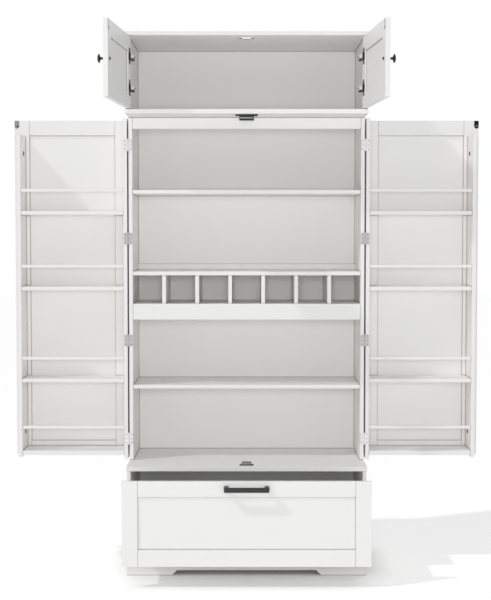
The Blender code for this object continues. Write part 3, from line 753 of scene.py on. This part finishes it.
# Strike plates of the upper doors.
# Narrow steel tongues at the top free corners of the inner faces, for the white catch.
TONGUE_WIDE, TONGUE_TALL, TONGUE_THICK = 0.0125, 0.032, 0.0012
TONGUE_FROM_SIDE, TONGUE_FROM_TOP, TONGUE_SCREW_DROP = 0.0085, 0.003, 0.027
dark_steel = finish_named("dark_steel", plated((0.050, 0.048, 0.046), 0.44))
upper_plate = tongue(TONGUE_WIDE, TONGUE_TALL, TONGUE_THICK)
upper_plate.transform(Matrix.Rotation(pi, 4, "Z"))
plate_x = -CENTRE_GAP / 2 - TONGUE_FROM_SIDE
upper_plate = placed(upper_plate, (plate_x, SLAB, upper_top - TONGUE_FROM_TOP))
pair("upper_strike_plate", swung(upper_plate), zinc_plate, "upper")
upper_screw = placed(plate_screw, (plate_x, SLAB + TONGUE_THICK, upper_top - TONGUE_SCREW_DROP),
                     (0, 1, 0))
pair("upper_strike_screw", swung(upper_screw), dark_steel, "upper", smooth=True)

# Concealed hinges of the upper doors, two to a door.
# A pressed cup with a screwed flange sits in a bore in the stile. A folded steel arm is screwed
# to a mounting plate on the side board. The dark block below the arm stands for its links and
# springs and is painted shade of the arm's hollow underside.
nickel_plate = finish_named("nickel_plate", plated((0.86, 0.855, 0.845), 0.34, 0.35))
dark_nickel = finish_named("dark_nickel", plated((0.075, 0.072, 0.069), 0.38))
COVER_HIGH, COVER_LONG, COVER_IN = 0.0125, 0.054, 0.0004
PLATE_RISE, PLATE_FRONT, PLATE_FOOT = 0.0055, 0.0070, 0.0020
TAB_THIN, TAB_FRONT, TAB_BACK, TAB_HIGH = 0.0015, 0.0300, 0.0420, 0.0030
LINKS_SHADE_IN, LINKS_SHADE_FRONT, LINKS_SHADE_SHORT = 0.0008, 0.0010, 0.002
FLANGE_RISE = 0.0013
CUP_SCREWS, ARM_SCREWS = (-0.0215, 0.0215), (0.020, 0.040)
cup_screw, arm_screw = pan_screw(0.0034, 0.0010), pan_screw(0.0032, 0.0010)
for end, height in cup_heights.items():
    refinish(dark_nickel, f"hinge_cup_{end}_left", f"hinge_cup_{end}_right")
    heads = [placed(cup_screw, (cup_x, SLAB + FLANGE_RISE, height + step), (0, 1, 0))
             for step in CUP_SCREWS]
    pair(f"hinge_cup_screws_{end}", swung(merged(*heads)), zinc_plate, "upper",
         smooth=True)
    low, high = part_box(f"hinge_arm_{end}_left")
    plate_face, arm_face = low.x + PLATE_RISE, high.x - COVER_IN
    cover_foot = high.z - COVER_HIGH
    cover = boards([((plate_face, arm_face), (low.y, low.y + COVER_LONG),
                     (cover_foot, high.z - JOINT))], 0.0011)
    mount = boards([((low.x, plate_face), (low.y + PLATE_FRONT, high.y),
                     (low.z + PLATE_FOOT, high.z)),
                    ((low.x, plate_face - TAB_THIN), (low.y + TAB_FRONT, low.y + TAB_BACK),
                     (low.z, low.z + TAB_HIGH))], 0.0007)
    pair(f"hinge_arm_{end}", merged(cover, mount), nickel_plate, "carcass",
         [f"hinge_arm_{end}"])
    # Dark block under the cover: the links and springs, and painted shade in the hollow arm.
    links = boards([((plate_face, arm_face - LINKS_SHADE_IN),
                     (low.y + LINKS_SHADE_FRONT, low.y + COVER_LONG - LINKS_SHADE_SHORT),
                     (low.z + LINKS_SHADE_IN, cover_foot))], 0.0005)
    pair(f"hinge_links_{end}", links, black_powder, "carcass")
    heads = [placed(arm_screw, (arm_face, low.y + step, high.z - COVER_HIGH / 2), (1, 0, 0))
             for step in ARM_SCREWS]
    pair(f"hinge_arm_screws_{end}", merged(*heads), dark_steel, "carcass", smooth=True)

# Magnetic catches.
# Moulded cases with a screwed wing on either side and a steel pole piece along the magnet's
# front: a white one under the top board, a black one under the cornice, a grey one on the ledge.
# The white one's pole piece is dark steel, painted shade along the lower front of its case.
LIP, LIP_DEEP, CHEEK = 0.0016, 0.004, 0.0018
POLE_IN, POLE_DEEP, POLE_SHORT = 0.0008, 0.003, 0.002
black_moulding = finish_named("black_moulding", moulded((0.022, 0.022, 0.023)))
grey_moulding = finish_named("grey_moulding", moulded((0.17, 0.17, 0.168)))
pole_steel = finish_named("pole_steel", plated((0.60, 0.598, 0.59), 0.34))


def catch(node, sizes, hangs, case_finish, magnet, screw):
    """Case, wings with screws, ribs and pole piece of one catch, in the space of its node. A dark
    pole piece is painted shade.
    """
    body, wing = sizes
    half = body / 2
    magnet_low, magnet_high, magnet_finish = magnet
    low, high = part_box(node)
    way = -1 if hangs else 1
    seat, end = (high.z, low.z) if hangs else (low.z, high.z)
    wings = boards([((low.x, high.x), (low.y + SET_BACK, high.y - SET_BACK),
                     (seat, seat + way * wing))], 0.0006)
    height = abs(end - seat)
    slot_low, slot_high = seat + way * height * magnet_low, seat + way * height * magnet_high
    lip = (low.y, low.y + LIP_DEEP)
    case = boards([((-half, half), (low.y + LIP, high.y), (seat, end)),
                   ((-half, half), lip, (seat + way * wing * 0.2, slot_low)),
                   ((-half, half), lip, (slot_high, end)),
                   ((-half, CHEEK - half), lip, (seat, end)),
                   ((half - CHEEK, half), lip, (seat, end))], 0.0005)
    show(f"{node}_case", merged(wings, case), case_finish, "carcass", [node])
    pole_y = low.y + POLE_IN
    pole_and_shade_strip = boards([((POLE_SHORT - half, half - POLE_SHORT), (pole_y, pole_y + POLE_DEEP),
                    (slot_low, slot_high))], 0.0002)
    show(f"{node}_pole", pole_and_shade_strip, magnet_finish, "carcass")
    middle = (high.x + half) / 2
    head = pan_screw(min(screw[0], (high.x - half) * 0.44), screw[1])
    heads = [placed(head, (x, (low.y + high.y) / 2, seat + way * wing), (0, 0, way))
             for x in (-middle, middle)]
    show(f"{node}_screws", merged(*heads), blued_steel, "carcass", smooth=True)


# The white catch's dark pole piece is painted shade along the lower front of its case.
catch("catch_upper_doors", (0.032, 0.004), True, white_moulding,
      (0.78, 0.97, dark_steel), (0.0040, 0.0026))
catch("catch_main_doors_top", (0.048, 0.0042), True, black_moulding,
      (0.54, 0.70, pole_steel), (0.0034, 0.0012))
catch("catch_main_doors_bottom", (0.031, 0.002), False, grey_moulding,
      (0.54, 0.70, pole_steel), (0.0034, 0.0012))

# Studio floor.
# A wide matte white sweep that glows a little, as a light table does. Under and near the
# cabinet the glow is faded, a painted contact shadow. The camera and mirror reflections see
# whiter paper that glows more, so that it is plain white outside the shadows.
FLOOR_REACH = 14.0
FLOOR_GLOW, SEEN_GLOW, PAINTED_SHADOW_REACH = 0.153, 0.325, 0.115
SEEN_PAPER = (0.97, 0.97, 0.97)


def seen(start):
    """1 for the rays of the camera, of mirror reflections and through glass, else 0."""
    kinds = ("Is Camera Ray", "Is Glossy Ray", "Is Transmission Ray")
    camera_ray, glossy_ray, through_ray = (start.node("LightPath", {}, {}, kind) for kind in kinds)
    return camera_ray + glossy_ray + through_ray


sweep = bmesh.new()
bmesh.ops.create_grid(sweep, x_segments=8, y_segments=8, size=FLOOR_REACH)
bmesh.ops.translate(sweep, verts=sweep.verts, vec=(0.0, FLOOR_REACH / 2, 0.0))
floor = bpy.data.objects.new("studio_floor", from_bmesh(sweep))
bpy.context.scene.collection.objects.link(floor)
paper = bpy.data.materials.new("studio_paper")
paper.use_nodes = True
tree = paper.node_tree
tree.nodes.remove(tree.nodes["Principled BSDF"])
start = Signal(tree)
fibre = clouds(start.node("TexCoord", {}, {}, "Object"), 40.0)
white = seen(start).between(fibre.between((0.80, 0.80, 0.80), (0.82, 0.82, 0.82)), SEEN_PAPER)
matte = start.node("BsdfDiffuse", {}, {"Color": white})
strength = FLOOR_GLOW + (SEEN_GLOW - FLOOR_GLOW) * seen(start)
# The glow fades where the cabinet stands near the floor: a painted contact shadow.
painted_shadow_mask = openness(start, PAINTED_SHADOW_REACH)
glow = start.node("Emission", {}, {"Color": (1.0, 1.0, 1.0, 1.0),
                                   "Strength": strength * painted_shadow_mask * painted_shadow_mask})
lit = start.node("AddShader", {}, {0: matte, 1: glow})
tree.links.new(lit.output, tree.nodes["Material Output"].inputs["Surface"])
floor.data.materials.append(paper)

# Studio light.
# An even white room, a square soft panel by the camera, and a hard lamp from the upper left.
# The room is plain white where the camera or a reflection sees it.
ROOM_LEVEL = 0.49
KEY_LEVEL, KEY_ANGLE = 0.82, radians(1.5)
KEY_WAY = (1.92, 0.93, -2.2)
PANEL_POWER, PANEL_SIZE, PANEL_AT = 51.0, 0.8, (0.0, -4.452, 1.26)

world = bpy.data.worlds.new("studio_room")
bpy.context.scene.world = world
world.use_nodes = True
tree = world.node_tree
start = Signal(tree)
level = ROOM_LEVEL + (1.0 - ROOM_LEVEL) * seen(start)
tree.nodes["Background"].inputs["Color"].default_value = (1.0, 1.0, 1.0, 1.0)
tree.links.new(level.output, tree.nodes["Background"].inputs["Strength"])


def hung_lamp(light, spot, turn):
    """Hangs a lamp at spot, turned from shining straight down."""
    lamp = bpy.data.objects.new(light.name, light)
    lamp.location, lamp.rotation_euler = spot, turn
    bpy.context.scene.collection.objects.link(lamp)
    return lamp


key = bpy.data.lights.new("key_lamp", "SUN")
key.energy, key.angle = KEY_LEVEL, KEY_ANGLE
hung_lamp(key, (0.0, 0.0, 0.0), Vector(KEY_WAY).to_track_quat("-Z", "Y").to_euler())
panel = bpy.data.lights.new("front_panel", "AREA")
panel.energy, panel.size = PANEL_POWER, PANEL_SIZE
hung_lamp(panel, PANEL_AT, (pi / 2, 0.0, 0.0)).visible_glossy = False

# Camera.
# A long lens a little below the middle of the door's height, aimed slightly down.
LENS = 80.92
EYE = (0.0, -4.4519, 1.13655)
TILT_DOWN = radians(2.801)
SHIFT = (-0.00190, 0.00078)

view = bpy.data.cameras.new("photo_view")
view.lens = LENS
view.shift_x, view.shift_y = SHIFT
camera = bpy.data.objects.new("photo_view", view)
camera.location = EYE
camera.rotation_euler = (pi / 2 - TILT_DOWN, 0.0, 0.0)
bpy.context.scene.collection.objects.link(camera)
bpy.context.scene.camera = camera
bpy.context.scene.view_settings.view_transform = "Standard"
